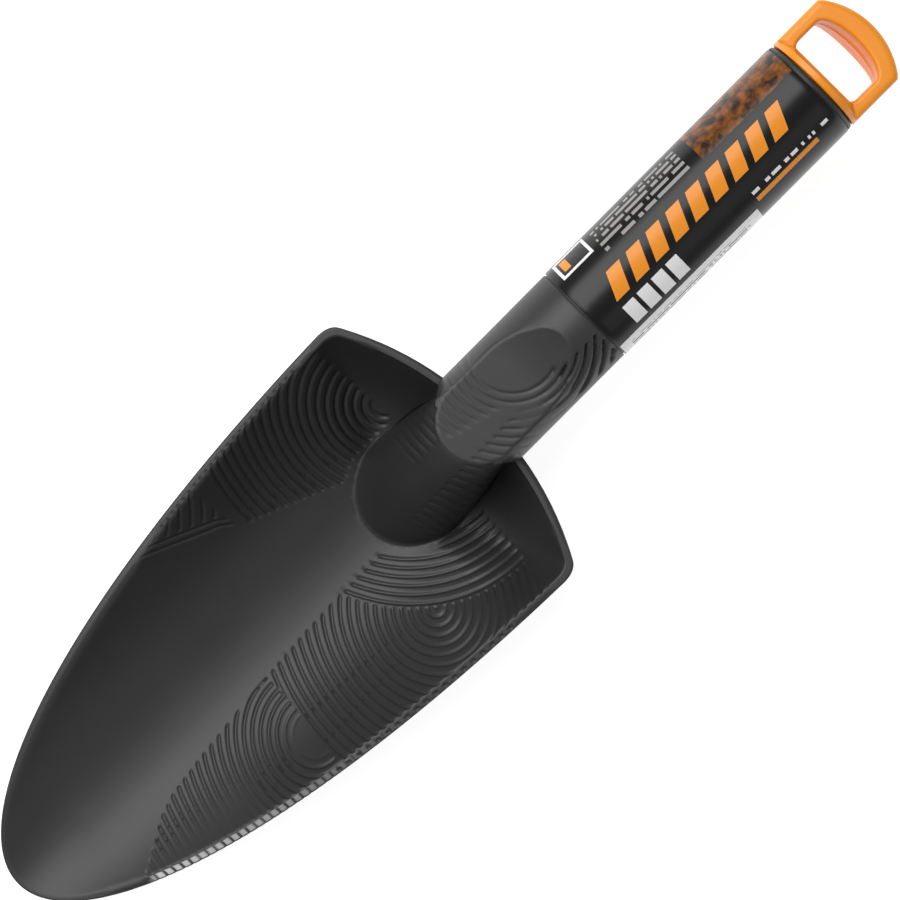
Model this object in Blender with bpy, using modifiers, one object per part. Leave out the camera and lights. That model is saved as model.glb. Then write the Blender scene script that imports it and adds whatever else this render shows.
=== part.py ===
"""Hand trowel: a one-piece moulded blade and hollow handle, a printed sleeve, and a cap with a hanging loop.

The trowel lies with its blade open upwards. +X runs from the blade's tip to the loop, +Z is up, and the
origin is at the middle of the footprint, on the surface under the blade. Sizes are in metres. A "station"
is a distance from the tip along X, and heights in the blade are measured from the handle's axis.
"""

import math

import bmesh
import bpy

# Overall
LENGTH = 0.290
AXIS_HEIGHT = 0.030
FIT_GAP = 0.0003

# Blade
BLADE_LENGTH = 0.1616
BACK_EDGE_RADIUS = 0.081
SHOULDER_START = 0.1452
SHOULDER_CORNER = (0.1502, 0.0417)
SHOULDER_END_WIDTH = 0.0389
WIDTH_GROWTH = 0.06142
WIDTH_TAPER = 0.01981
WALL = 0.0025
LIP_WIDTH = 0.0023
SPINE_START = 0.022
SPINE_END = 0.129
RIM_SAG = 0.0140
FLOOR_AT_TIP = -0.0140
FLOOR_AT_BACK = -0.0275
SIDE_CURVE_POWER = 2.2
BACK_CURVE_POWER = 4.5
BACK_CURVE_ANGLE = math.radians(50)
SIDE_POINTS = 22
SHOULDER_POINTS = 5
BACK_POINTS = 11
BOWL_RINGS = 8

# Nose, the boss that carries the handle down to the blade's floor, in front of the back wall
NOSE_FOOT_CENTRE = 0.1337
NOSE_FOOT_RADIUS = 0.0141
NOSE_FOOT_HEIGHT = -0.0279
NOSE_TOP_CENTRE = 0.1604
NOSE_TOP_RADIUS = 0.0101
NOSE_TOP_HEIGHT = 0.0096
NOSE_FOOT_BACK = 0.1415
NOSE_TOP_BACK = 0.1618
NOSE_INTO_WALL = 0.0004
NOSE_SECTIONS = 9
NOSE_SECTION_SPREAD = 1.6
NOSE_ARC_POINTS = 21

# Handle tube
HANDLE_START = 0.1575
HANDLE_END = 0.2704
HANDLE_RADIUS = 0.0133
HANDLE_EDGE = 0.0008
BORE_RADIUS = 0.0108
BORE_START = 0.1905
CORE_RADIUS = 0.0058
CORE_START = 0.1625
ROUND_STEPS = 64
SHARP_ANGLE = math.radians(35)

# Thumb rest, scooped into the top of the handle
REST_HEIGHT = 0.0087
REST_RAMP_START = 0.1726
REST_RAMP_END = 0.1884
REST_RAMP_POWER = 1.5
REST_RAMP_POINTS = 9

# Printed sleeve, in a shallow recess of the handle
SLEEVE_START = 0.1949
SLEEVE_END = 0.2690
SLEEVE_RADIUS = 0.0135
SLEEVE_WALL = 0.0003

# Cap with the hanging loop
CAP_RADIUS = 0.0133
CAP_START = HANDLE_END + FIT_GAP
COLLAR_END = 0.2722
COLLAR_EDGE = 0.0012
DOME_SHOULDER = 0.2760
DOME_SHOULDER_RADIUS = 0.0088
DOME_TOP = 0.2785
DOME_TOP_RADIUS = 0.0056
DOME_END = 0.2790
PLUG_START = 0.2530
PLUG_BORE_END = 0.2690
PLUG_BORE_RADIUS = 0.0085
SNAP_STATION = 0.2600
SNAP_HALF_WIDTH = 0.0010
SNAP_RISE = 0.0004
LOOP_HALF_THICKNESS = 0.0070
LOOP_HALF_WIDTH = 0.0132
LOOP_SHOULDER = 0.2850
LOOP_END_RADIUS = 0.0210
LOOP_CHAMFER = 0.0008
LOOP_ARC_STEPS = 16
LOOP_EDGE = 0.0015
LOOP_EDGE_SEGMENTS = 3
LOOP_EDGE_ANGLE = math.radians(50)
HOLE_START = 0.2728
HOLE_CORNER = 0.0028
HOLE_SHOULDER = 0.2810
HOLE_END = 0.2837
HOLE_HALF_WIDTH = 0.0097
HOLE_TAPER = 0.0025
HOLE_CORNER_STEPS = 4
HOLE_BOW_STEPS = 6


def clear_scene():
    for item in list(bpy.data.objects):
        bpy.data.objects.remove(item, do_unlink=True)


def make_collection(name, hidden=False):
    made = bpy.data.collections.new(name)
    bpy.context.scene.collection.children.link(made)
    made.hide_render = hidden
    return made


def make_material(name, colour, roughness):
    material = bpy.data.materials.new(name)
    material.use_nodes = True
    shader = material.node_tree.nodes["Principled BSDF"]
    shader.inputs["Base Color"].default_value = (*colour, 1.0)
    shader.inputs["Roughness"].default_value = roughness
    shader.inputs["Metallic"].default_value = 0.0
    return material


def place(station, side, height):
    """The point at a station, a distance to +Y and a height above the handle's axis."""
    return (station - LENGTH / 2, side, AXIS_HEIGHT + height)


def add_object(name, mesh, collection):
    made = bpy.data.objects.new(name, mesh)
    collection.objects.link(made)
    return made


def mesh_of(name, shape):
    mesh = bpy.data.meshes.new(name)
    bmesh.ops.recalc_face_normals(shape, faces=shape.faces)
    shape.to_mesh(mesh)
    shape.free()
    return mesh


def boolean(target, cutter, operation):
    modifier = target.modifiers.new(cutter.name, "BOOLEAN")
    modifier.object = cutter
    modifier.operation = operation


def as_cutter(item):
    item.hide_render = True
    item.display_type = "WIRE"
    return item


def shade(item):
    item.data.shade_smooth()
    item.data.set_sharp_from_angle(angle=SHARP_ANGLE)


def turned(name, profile, collection):
    """A turned shape about the handle's axis, from (radius, station) points that start at the loop's end."""
    shape = bmesh.new()
    points = [shape.verts.new((radius, 0.0, station)) for radius, station in profile]
    for first, second in zip(points, points[1:]):
        shape.edges.new((first, second))
    if profile[0][0] > 0.0:
        shape.edges.new((points[-1], points[0]))
    mesh = bpy.data.meshes.new(name)
    shape.to_mesh(mesh)
    shape.free()
    made = add_object(name, mesh, collection)
    made.rotation_euler = (0.0, math.pi / 2, 0.0)
    made.location = place(0.0, 0.0, 0.0)
    screw = made.modifiers.new("Turn", "SCREW")
    screw.steps = ROUND_STEPS
    screw.render_steps = ROUND_STEPS
    screw.use_merge_vertices = True
    screw.merge_threshold = 0.00001
    return made


def slab(name, outline, along, thickness, collection):
    """A flat outline given by (station, other) points, with thickness along Y or along Z."""
    shape = bmesh.new()
    if along == "Y":
        corners = [shape.verts.new(place(station, 0.0, height)) for station, height in outline]
    else:
        corners = [shape.verts.new(place(station, side, 0.0)) for station, side in outline]
    shape.faces.new(corners)
    made = add_object(name, mesh_of(name, shape), collection)
    thicken = made.modifiers.new("Thickness", "SOLIDIFY")
    thicken.thickness = thickness
    thicken.offset = 0.0
    return made


def loft(name, sections, collection):
    """A closed solid through sections of equal point counts, each a list of places."""
    shape = bmesh.new()
    rings = [[shape.verts.new(point) for point in section] for section in sections]
    count = len(rings[0])
    for lower, upper in zip(rings, rings[1:]):
        for i in range(count):
            after = (i + 1) % count
            shape.faces.new((lower[i], lower[after], upper[after], upper[i]))
    shape.faces.new(rings[0])
    shape.faces.new(rings[-1])
    return add_object(name, mesh_of(name, shape), collection)


def blade_half_width(station):
    """Half the blade's width beside the axis: round at the tip, nearly straight towards the shoulders."""
    along = math.sqrt(station / BLADE_LENGTH)
    return WIDTH_GROWTH * along - WIDTH_TAPER * along**3


def back_edge(side):
    """The station of the blade's back edge, an arc across the handle."""
    return BLADE_LENGTH - BACK_EDGE_RADIUS + math.sqrt(BACK_EDGE_RADIUS**2 - side**2)


def rim_height(station):
    """The rim rises from the tip to the shoulders, steeply at first."""
    return -RIM_SAG * (1.0 - min(station / SHOULDER_START, 1.0)) ** 2


def floor_height(station):
    """The floor falls evenly from the tip to the foot of the nose."""
    along = min(station / SPINE_END, 1.0)
    return FLOOR_AT_TIP + (FLOOR_AT_BACK - FLOOR_AT_TIP) * along


def blade_outline():
    """(station, side) from the tip round the +Y shoulder to the middle of the back edge."""
    points = []
    for i in range(SIDE_POINTS):
        station = SHOULDER_START * (i / SIDE_POINTS) ** 2
        points.append((station, blade_half_width(station)))
    start = (SHOULDER_START, blade_half_width(SHOULDER_START))
    end = (back_edge(SHOULDER_END_WIDTH), SHOULDER_END_WIDTH)
    for i in range(SHOULDER_POINTS):
        t = i / SHOULDER_POINTS
        weights = ((1 - t) ** 2, 2 * t * (1 - t), t**2)
        corners = zip(start, SHOULDER_CORNER, end)
        points.append(tuple(sum(w * c for w, c in zip(weights, axis)) for axis in corners))
    for i in range(BACK_POINTS):
        side = SHOULDER_END_WIDTH * (1.0 - i / (BACK_POINTS - 1))
        points.append((back_edge(side), side))
    return points


def curve_power(station, side):
    """How square the bowl is towards a point of its rim: rounded to the sides, steep to the back."""
    turn = math.atan2(max(station - SPINE_END, 0.0), side) / BACK_CURVE_ANGLE
    turn = min(turn, 1.0)
    return SIDE_CURVE_POWER + (BACK_CURVE_POWER - SIDE_CURVE_POWER) * turn**2 * (3 - 2 * turn)


def blade_spoke(station, side):
    """Places from the rim to the blade's spine: a flat lip, then the bowl."""
    power = curve_power(station, side)
    spine = min(max(station, SPINE_START), SPINE_END)
    reach = math.hypot(station - spine, side)
    lip = LIP_WIDTH / max(reach, LIP_WIDTH)
    rim = rim_height(station)
    floor = floor_height(spine)
    spoke = [place(station, side, rim)]
    for ring in range(BOWL_RINGS + 1):
        out = 1.0 - ring / BOWL_RINGS
        share = (1.0 - lip) * out
        height = floor + (rim - floor) * out**power
        spoke.append(place(spine + (station - spine) * share, side * share, height))
    return spoke


def make_blade(collection):
    """An open surface for one half of the bowl, mirrored across the axis and thickened downwards."""
    shape = bmesh.new()
    spokes = [
        [shape.verts.new(point) for point in blade_spoke(*outline_point)]
        for outline_point in blade_outline()
    ]
    for first, second in zip(spokes, spokes[1:]):
        for i in range(len(first) - 1):
            shape.faces.new((first[i], first[i + 1], second[i + 1], second[i]))
    bmesh.ops.remove_doubles(shape, verts=shape.verts, dist=0.00001)
    bmesh.ops.recalc_face_normals(shape, faces=shape.faces)
    if sum(face.normal.z for face in shape.faces) < 0.0:
        bmesh.ops.reverse_faces(shape, faces=shape.faces)
    mesh = bpy.data.meshes.new("trowel_body")
    shape.to_mesh(mesh)
    shape.free()
    blade = add_object("trowel_body", mesh, collection)
    mirror = blade.modifiers.new("Halves", "MIRROR")
    mirror.use_axis = (False, True, False)
    mirror.merge_threshold = 0.00001
    wall = blade.modifiers.new("Wall", "SOLIDIFY")
    wall.thickness = WALL
    wall.offset = -1.0
    return blade


def back_wall(height):
    """The station where the middle of the bowl's back wall reaches a height."""
    rise = min(max(1.0 - height / FLOOR_AT_BACK, 0.0), 1.0)
    return SPINE_END + (BLADE_LENGTH - LIP_WIDTH - SPINE_END) * rise ** (1.0 / BACK_CURVE_POWER)


def nose_section(share):
    """The nose's outline at a share of its height: a half circle towards the tip, and a back in the wall."""
    centre = NOSE_FOOT_CENTRE + (NOSE_TOP_CENTRE - NOSE_FOOT_CENTRE) * share
    radius = NOSE_FOOT_RADIUS + (NOSE_TOP_RADIUS - NOSE_FOOT_RADIUS) * share
    height = NOSE_FOOT_HEIGHT + (NOSE_TOP_HEIGHT - NOSE_FOOT_HEIGHT) * share
    back = NOSE_FOOT_BACK + (NOSE_TOP_BACK - NOSE_FOOT_BACK) * share
    back = max(back, back_wall(height) + NOSE_INTO_WALL)
    section = [place(back, radius, height)]
    for i in range(NOSE_ARC_POINTS):
        angle = math.pi * (0.5 + i / (NOSE_ARC_POINTS - 1))
        section.append(place(centre + radius * math.cos(angle), radius * math.sin(angle), height))
    section.append(place(back, -radius, height))
    return section


def make_nose(cutters):
    """The sections lie closer together towards the foot, where the back wall curves most."""
    shares = [(i / (NOSE_SECTIONS - 1)) ** NOSE_SECTION_SPREAD for i in range(NOSE_SECTIONS)]
    return as_cutter(loft("nose", [nose_section(share) for share in shares], cutters))


def make_handle_tube(cutters):
    recess = SLEEVE_RADIUS - SLEEVE_WALL - FIT_GAP
    profile = [
        (0.0, HANDLE_END),
        (HANDLE_RADIUS - HANDLE_EDGE, HANDLE_END),
        (HANDLE_RADIUS, HANDLE_END - HANDLE_EDGE),
        (HANDLE_RADIUS, SLEEVE_END + FIT_GAP),
        (recess, SLEEVE_END + FIT_GAP),
        (recess, SLEEVE_START - FIT_GAP),
        (HANDLE_RADIUS, SLEEVE_START - FIT_GAP),
        (HANDLE_RADIUS, HANDLE_START),
        (0.0, HANDLE_START),
    ]
    return as_cutter(turned("handle_tube", profile, cutters))


def make_handle_bore(cutters):
    """The core that hollows the handle: wide behind the thumb rest, narrow under it, with a snap groove."""
    mouth = HANDLE_END + WALL
    profile = [
        (0.0, mouth),
        (BORE_RADIUS, mouth),
        (BORE_RADIUS, SNAP_STATION + SNAP_HALF_WIDTH),
        (BORE_RADIUS + SNAP_RISE, SNAP_STATION),
        (BORE_RADIUS, SNAP_STATION - SNAP_HALF_WIDTH),
        (BORE_RADIUS, BORE_START),
        (CORE_RADIUS, BORE_START - (BORE_RADIUS - CORE_RADIUS)),
        (CORE_RADIUS, CORE_START),
        (0.0, CORE_START),
    ]
    return as_cutter(turned("handle_bore", profile, cutters))


def make_rest_cutter(cutters):
    """The room over the thumb rest: a level floor, then a ramp that hollows up to the handle's top."""
    above = 2 * HANDLE_RADIUS
    outline = [(NOSE_FOOT_CENTRE, above), (NOSE_FOOT_CENTRE, REST_HEIGHT)]
    ramp = REST_RAMP_END - REST_RAMP_START
    for i in range(REST_RAMP_POINTS):
        share = i / (REST_RAMP_POINTS - 1)
        rise = (HANDLE_RADIUS + FIT_GAP - REST_HEIGHT) * share**REST_RAMP_POWER
        outline.append((REST_RAMP_START + ramp * share, REST_HEIGHT + rise))
    outline.append((REST_RAMP_END, above))
    return as_cutter(slab("rest_cutter", outline, "Y", 2 * above, cutters))


def make_trowel_body(parts, cutters):
    """Blade, nose and handle in one moulding."""
    body = make_blade(parts)
    boolean(body, make_nose(cutters), "UNION")
    boolean(body, make_handle_tube(cutters), "UNION")
    boolean(body, make_rest_cutter(cutters), "DIFFERENCE")
    boolean(body, make_handle_bore(cutters), "DIFFERENCE")
    body.data.materials.append(make_material("charcoal_composite", (0.030, 0.030, 0.032), 0.55))
    shade(body)
    return body


def make_label_sleeve(parts):
    profile = [
        (SLEEVE_RADIUS, SLEEVE_END),
        (SLEEVE_RADIUS, SLEEVE_START),
        (SLEEVE_RADIUS - SLEEVE_WALL, SLEEVE_START),
        (SLEEVE_RADIUS - SLEEVE_WALL, SLEEVE_END),
    ]
    sleeve = turned("label_sleeve", profile, parts)
    sleeve.data.materials.append(make_material("black_film", (0.012, 0.012, 0.013), 0.30))
    shade(sleeve)
    return sleeve


def loop_outline():
    """The loop from above: straight sides, then an arc round the far end."""
    centre = LENGTH - LOOP_END_RADIUS
    reach = math.asin((CAP_RADIUS - LOOP_CHAMFER) / LOOP_END_RADIUS)
    outline = [(COLLAR_END - FIT_GAP, -LOOP_HALF_WIDTH), (LOOP_SHOULDER, -LOOP_HALF_WIDTH)]
    for i in range(LOOP_ARC_STEPS + 1):
        angle = reach * (2 * i / LOOP_ARC_STEPS - 1)
        outline.append((centre + LOOP_END_RADIUS * math.cos(angle), LOOP_END_RADIUS * math.sin(angle)))
    outline += [(LOOP_SHOULDER, LOOP_HALF_WIDTH), (COLLAR_END - FIT_GAP, LOOP_HALF_WIDTH)]
    return outline


def hole_section(height, taper):
    """The loop's hole at a height: square towards the handle, round towards the far end."""
    half = []
    for i in range(HOLE_CORNER_STEPS + 1):
        angle = math.pi * (1.0 + 0.5 * i / HOLE_CORNER_STEPS)
        station = HOLE_START + HOLE_CORNER * (1.0 + math.cos(angle))
        half.append((station, -HOLE_HALF_WIDTH + HOLE_CORNER * (1.0 + math.sin(angle))))
    bow = HOLE_END - taper - HOLE_SHOULDER
    for i in range(HOLE_BOW_STEPS):
        angle = 0.5 * math.pi * (i / HOLE_BOW_STEPS - 1.0)
        half.append((HOLE_SHOULDER + bow * math.cos(angle), HOLE_HALF_WIDTH * math.sin(angle)))
    other_half = [(station, -side) for station, side in reversed(half)]
    outline = half + [(HOLE_SHOULDER + bow, 0.0)] + other_half
    return [place(station, side, height) for station, side in outline]


def make_hole_cutter(cutters):
    """The hole narrows downwards on its far side, so that the loop is thickest where it hangs."""
    reach = 2 * LOOP_HALF_THICKNESS
    sections = [hole_section(-reach, HOLE_TAPER), hole_section(reach, -HOLE_TAPER)]
    return as_cutter(loft("hole_cutter", sections, cutters))


def make_hang_loop(parts, cutters):
    """A hollow plug with a snap ridge, a round collar and a flat loop, in one moulding."""
    plug = BORE_RADIUS - FIT_GAP
    profile = [
        (0.0, DOME_END),
        (DOME_TOP_RADIUS, DOME_TOP),
        (DOME_SHOULDER_RADIUS, DOME_SHOULDER),
        (CAP_RADIUS - COLLAR_EDGE, COLLAR_END + COLLAR_EDGE),
        (CAP_RADIUS, COLLAR_END),
        (CAP_RADIUS, CAP_START),
        (plug, CAP_START),
        (plug, SNAP_STATION + SNAP_HALF_WIDTH),
        (plug + SNAP_RISE, SNAP_STATION),
        (plug, SNAP_STATION - SNAP_HALF_WIDTH),
        (plug, PLUG_START),
        (PLUG_BORE_RADIUS, PLUG_START),
        (PLUG_BORE_RADIUS, PLUG_BORE_END),
        (0.0, PLUG_BORE_END),
    ]
    cap = turned("hang_loop", profile, parts)
    loop = slab("loop_slab", loop_outline(), "Z", 2 * LOOP_HALF_THICKNESS, cutters)
    rounding = loop.modifiers.new("Edges", "BEVEL")
    rounding.width = LOOP_EDGE
    rounding.segments = LOOP_EDGE_SEGMENTS
    rounding.angle_limit = LOOP_EDGE_ANGLE
    boolean(cap, as_cutter(loop), "UNION")
    boolean(cap, make_hole_cutter(cutters), "DIFFERENCE")
    cap.data.materials.append(make_material("orange_plastic", (0.83, 0.29, 0.02), 0.40))
    shade(cap)
    return cap


def main():
    clear_scene()
    parts = make_collection("hand_trowel")
    cutters = make_collection("cutters", hidden=True)
    make_trowel_body(parts, cutters)
    make_label_sleeve(parts)
    make_hang_loop(parts, cutters)


main()
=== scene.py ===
"""Looks for the hand trowel: the moulded body with its wave grooves, the printed sleeve and the looped cap.

Sizes are in millimetres. A station is a distance from the blade's tip along the handle's axis, a side is
measured to the right of the axis when looking from the handle to the tip (row -Y), and a height is measured
from the axis. The body is one closed mesh: the blade, the nose and the tube are joined, and the thumb rest is
scooped out of them.
"""

import math

import bmesh
import bpy
import numpy as np
from mathutils import Matrix, Vector


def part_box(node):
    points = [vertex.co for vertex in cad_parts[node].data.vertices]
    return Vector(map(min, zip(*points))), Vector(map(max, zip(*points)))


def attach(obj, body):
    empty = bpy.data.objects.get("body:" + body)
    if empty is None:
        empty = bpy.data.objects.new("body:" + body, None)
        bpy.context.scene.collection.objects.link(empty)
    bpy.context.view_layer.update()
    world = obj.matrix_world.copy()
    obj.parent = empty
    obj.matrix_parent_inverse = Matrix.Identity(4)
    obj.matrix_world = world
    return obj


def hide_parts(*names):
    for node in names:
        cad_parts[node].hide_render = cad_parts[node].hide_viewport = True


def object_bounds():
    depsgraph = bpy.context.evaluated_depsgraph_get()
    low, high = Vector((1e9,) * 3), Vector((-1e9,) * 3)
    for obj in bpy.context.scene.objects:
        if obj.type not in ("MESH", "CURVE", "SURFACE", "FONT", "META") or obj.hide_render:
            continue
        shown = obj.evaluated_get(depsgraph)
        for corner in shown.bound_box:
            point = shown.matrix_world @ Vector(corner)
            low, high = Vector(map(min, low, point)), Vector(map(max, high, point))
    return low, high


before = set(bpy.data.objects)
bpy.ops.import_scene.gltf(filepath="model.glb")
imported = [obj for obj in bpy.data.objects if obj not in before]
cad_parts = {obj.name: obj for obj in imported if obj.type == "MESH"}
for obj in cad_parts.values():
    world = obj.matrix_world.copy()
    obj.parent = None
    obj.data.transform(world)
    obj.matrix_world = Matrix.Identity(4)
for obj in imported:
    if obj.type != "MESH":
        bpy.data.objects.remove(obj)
cad_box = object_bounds()
sleeve_low, sleeve_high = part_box("label_sleeve")
loop_low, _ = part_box("hang_loop")

MM = 0.001

# Places that the frame gives
TIP = cad_box[0][0] / MM
LENGTH = (cad_box[1][0] - cad_box[0][0]) / MM
AXIS = (sleeve_low.z + sleeve_high.z) / 2 / MM
SLEEVE_START = sleeve_low.x / MM - TIP
SLEEVE_END = sleeve_high.x / MM - TIP
SLEEVE_RADIUS = (sleeve_high.z - sleeve_low.z) / 2 / MM
PLUG_START = loop_low.x / MM - TIP

# Blade, as the CAD has it
BLADE_LENGTH = 161.6
BACK_EDGE_RADIUS = 81.0
SHOULDER_START = 145.2
SHOULDER_CORNER = (150.2, 41.7)
SHOULDER_END_WIDTH = 38.9
SHOULDER_INNER = 36.0
TIP_CURVE_END = 12.0
WIDTH_GROWTH = 61.42
WIDTH_TAPER = 19.81
SPINE_START = 22.0
SPINE_END = 129.0
RIM_SAG = 14.0
FLOOR_AT_TIP = -14.0
FLOOR_AT_BACK = -27.5
SIDE_CURVE_POWER = 2.2
BACK_CURVE_POWER = 4.5
BACK_CURVE_ANGLE = math.radians(50)
LIP_WIDTH = 2.3
LIP_WIDTH_AT_TIP = 1.3
WALL = 2.5
WALL_AT_TIP = 1.8
UNDER_SPINE = (0.104, 0.0, 0.9945)
UNDER_EDGE_GAP = 0.08
UNDER_RIM_GAP = 0.85
LIP_INNER_ROUNDING = 0.5
LIP_OUTER_ROUNDING = 0.45
LIP_CORNER_END = 0.4

# Nose and tube, as the CAD has them
NOSE_FOOT = (133.7, 14.1, -27.9)
NOSE_TOP = (160.4, 10.1, 9.6)
NOSE_BACK = (141.5, 161.8)
NOSE_INTO_WALL = 0.4
NOSE_ABOVE = 12.5
FOOT_FILLET = 1.0
FILLET_TOP = -21.5
TUBE_RADIUS = 13.3
TUBE_FRONT = 158.8
TUBE_FRONT_SLANT = 1.25
TUBE_INTO_WALL = 1.0
TUBE_END = 270.4
TUBE_EDGE = 0.8
BORE_RADIUS = 10.8
BORE_START = 190.5
CORE_RADIUS = 5.8
CORE_START = 162.5
REST_HEIGHT = 8.7
REST_RAMP = (172.6, 188.4)
REST_RAMP_POWER = 1.5
REST_EDGE = 0.6
REST_EDGE_SLOPE = 0.5

# How finely the surfaces are divided: one coarse face spans BLOCK x BLOCK of the fine ones
BLOCK = 4
TIP_STEPS = 52
SIDE_STEPS = 344
SHOULDER_STEPS = 16
BACK_STEPS = 48
LIP_STEPS = 8
BOWL_STEPS = 133
UNDER_STEPS = 44


def smoothstep(value):
    """0 below 0, 1 above 1, and a smooth rise between."""
    value = np.clip(value, 0.0, 1.0)
    return value * value * (3.0 - 2.0 * value)


def inside(value, low, high, fade=0.6):
    """1 between low and high, fading to 0 over a distance outside them."""
    return smoothstep((value - low) / fade + 1.0) * smoothstep((high - value) / fade + 1.0)


def to_row(points):
    """(station, side, height) in millimetres to the frame's coordinates in metres."""
    points = np.asarray(points, float)
    x = points[..., 0] + TIP
    return np.stack((x, -points[..., 1], points[..., 2] + AXIS), axis=-1) * MM


# ---------------------------------------------------------------- the moulded waves

GROOVE_HALF_WIDTH = 0.66
LEAST_DEPTH = 0.004
NO_LIMIT = 60.0
WAVES_START = 25.0
WAVES_END = 142.6

# A set of arcs: the station and side of its middle, the radius of one groove, and the pitch
FRONT_ARCS = (77.2, 25.0, 44.3, 2.05)
MIDDLE_ARCS = (119.4, 24.3, 25.95, 2.15)
BACK_ARCS = (143.5, -10.5, 41.2, 2.1)
LEFT_ARCS = (144.6, 19.2, 42.2, 2.07)
LEFT_SLANTS = (67.5, 63.0, 38.0, 2.55)
REST_RINGS = (177.6, -6.85, 11.2, 2.08)

# Right side of the bowl: its inner edge as (station, side), and where the front arcs fade
RIGHT_EDGE = (
    (24.0, 20.0), (31.5, 15.6), (35.5, 13.0), (42.0, 10.8),
    (52.0, 9.5), (72.0, 7.5), (92.0, 6.1), (105.0, 5.7),
)
RIGHT_EDGE_GAP = 0.5
RIGHT_DEPTH = 0.42
FRONT_ARCS_END = 77.6
FRONT_MIDDLE_FADE = (4.0, 5.0)
FRONT_WEAR = 0.75
FRONT_WEAR_SIDE = (17.0, 7.0)
FRONT_WEAR_STATION = (62.0, 12.0)
BACK_ARCS_REACH = 42.2

# Left side of the bowl: its inner edge as (station, side), and what lies how far outside it
LEFT_EDGE = ((78.5, 33.5), (96.8, 25.2), (100.0, 22.7), (111.0, 18.2), (124.0, 12.7), (132.0, 12.0))
LEFT_EDGE_SLANT = 0.9
LEFT_START = 76.0
LEFT_ARCS_REACH = 43.2
LEFT_ARCS_GAP = 0.4
LEFT_ARCS_DEPTH = 0.46
LEFT_ARCS_HALF_WIDTH = 0.70
LEFT_SLANTS_GAP = 3.6
LEFT_SLANTS_DEPTH = 0.24
LEFT_SLANTS_SPAN = (79.0, 98.5)
LEFT_LINES = (0.9, 2.5)
LEFT_LINES_END = 3.2
LEFT_LINES_DEPTH = 0.26
LINE_HALF_WIDTH = 0.5
LINE_APART = 9.0

# Marks on the rim's flat: first station, pitch, half width, stations, distances from the edge, depth
PADS = (26.0, 2.2, 0.5, (26.0, 74.0), (0.2, 1.4), 0.30)
POCKETS = (76.6, 2.95, 1.0, (75.0, 131.0), (0.5, 1.1), 0.38)
TICKS = (88.0, 2.1, 0.5, (87.0, 137.0), (1.5, 2.6), 0.22)

# The painted highlight on the rim's pads: how bright it is along the rim, how wide the gaps between the pads,
# and how far from the edge
PAD_HIGHLIGHT_ALONG = ((24.5, 26.0, 40.0, 74.0, 100.0), (0.0, 1.0, 0.75, 0.2, 0.0))
PAD_HIGHLIGHT_GAP_HALF_WIDTH = 0.6
PAD_HIGHLIGHT_ACROSS = (0.35, 1.7)

# Rings on the nose, thumb rest and handle: the parts of each ring that show, and how deep they are
RINGS_INNER = 10.6
RINGS_LEFT_SIDE = -12.6
RINGS_LEFT_EDGE = ((130.0, -4.8), (150.0, -4.6), (154.0, -2.4), (161.0, -1.0), (167.0, 0.8))
RINGS_LEFT_SPAN = (142.0, 174.0)
SWEEP_RADII = (10.8, 14.0)
SWEEP_SPAN = (161.0, 180.0)
SWEEP_SIDES = (-9.0, 6.0)
RINGS_RIGHT_SIDES = (5.4, 12.0)
RINGS_RIGHT_SPAN = (131.0, 193.6)
RINGS_FAINT_SPAN = (167.0, 171.5)
RINGS_FAINT_SHARE = 0.8
RINGS_DEPTH = 0.30
RINGS_ON_REST = (151.0, 174.0)
RINGS_ON_REST_LESS = 0.14
RINGS_ON_HANDLE = (182.0, 200.0)
RINGS_ON_HANDLE_MORE = 0.70


def grooves(radius, first, pitch, half_width=GROOVE_HALF_WIDTH):
    """1 along the middle of each groove, 0 between them. They lie at first, first + pitch and so on."""
    turn = (radius - first) / pitch
    off = np.abs(turn - np.round(turn)) * pitch
    return 0.5 + 0.5 * np.cos(np.pi * np.minimum(off / half_width, 1.0))


def distance_to(arcs, x, side):
    return np.hypot(x - arcs[0], side - arcs[1])


def arc_grooves(arcs, x, side, half_width=GROOVE_HALF_WIDTH):
    return grooves(distance_to(arcs, x, side), arcs[2], arcs[3], half_width)


def edge_at(edge, station):
    stations, sides = zip(*edge)
    return np.interp(station, stations, sides)


def clear_of_foot(x, side):
    """0 beside the nose's foot, 1 a little away from it."""
    gap = np.hypot(np.minimum(x - NOSE_FOOT[0], 0.0), side) - NOSE_FOOT[1]
    return smoothstep((gap - 0.9) / 0.9)


def right_waves(x, side):
    """Depth of the three sets of arcs that fill the right side of the bowl."""
    fade_start, fade_length = FRONT_MIDDLE_FADE
    wear_side, wear_width = FRONT_WEAR_SIDE
    wear_end, wear_length = FRONT_WEAR_STATION
    front = arc_grooves(FRONT_ARCS, x, side)
    front = front * smoothstep((distance_to(FRONT_ARCS, x, side) - fade_start) / fade_length)
    wear = FRONT_WEAR * smoothstep((side - wear_side) / wear_width) * smoothstep((wear_end - x) / wear_length)
    in_front = np.where(x < FRONT_ARCS_END, front * (1.0 - wear), arc_grooves(MIDDLE_ARCS, x, side))
    near_back = distance_to(BACK_ARCS, x, side) < BACK_ARCS_REACH
    lines = np.where(near_back, arc_grooves(BACK_ARCS, x, side), in_front) * clear_of_foot(x, side)
    within = inside(side, edge_at(RIGHT_EDGE, x) + RIGHT_EDGE_GAP, NO_LIMIT, 0.5)
    return RIGHT_DEPTH * lines * within * inside(x, WAVES_START, WAVES_END, 1.0)


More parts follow.
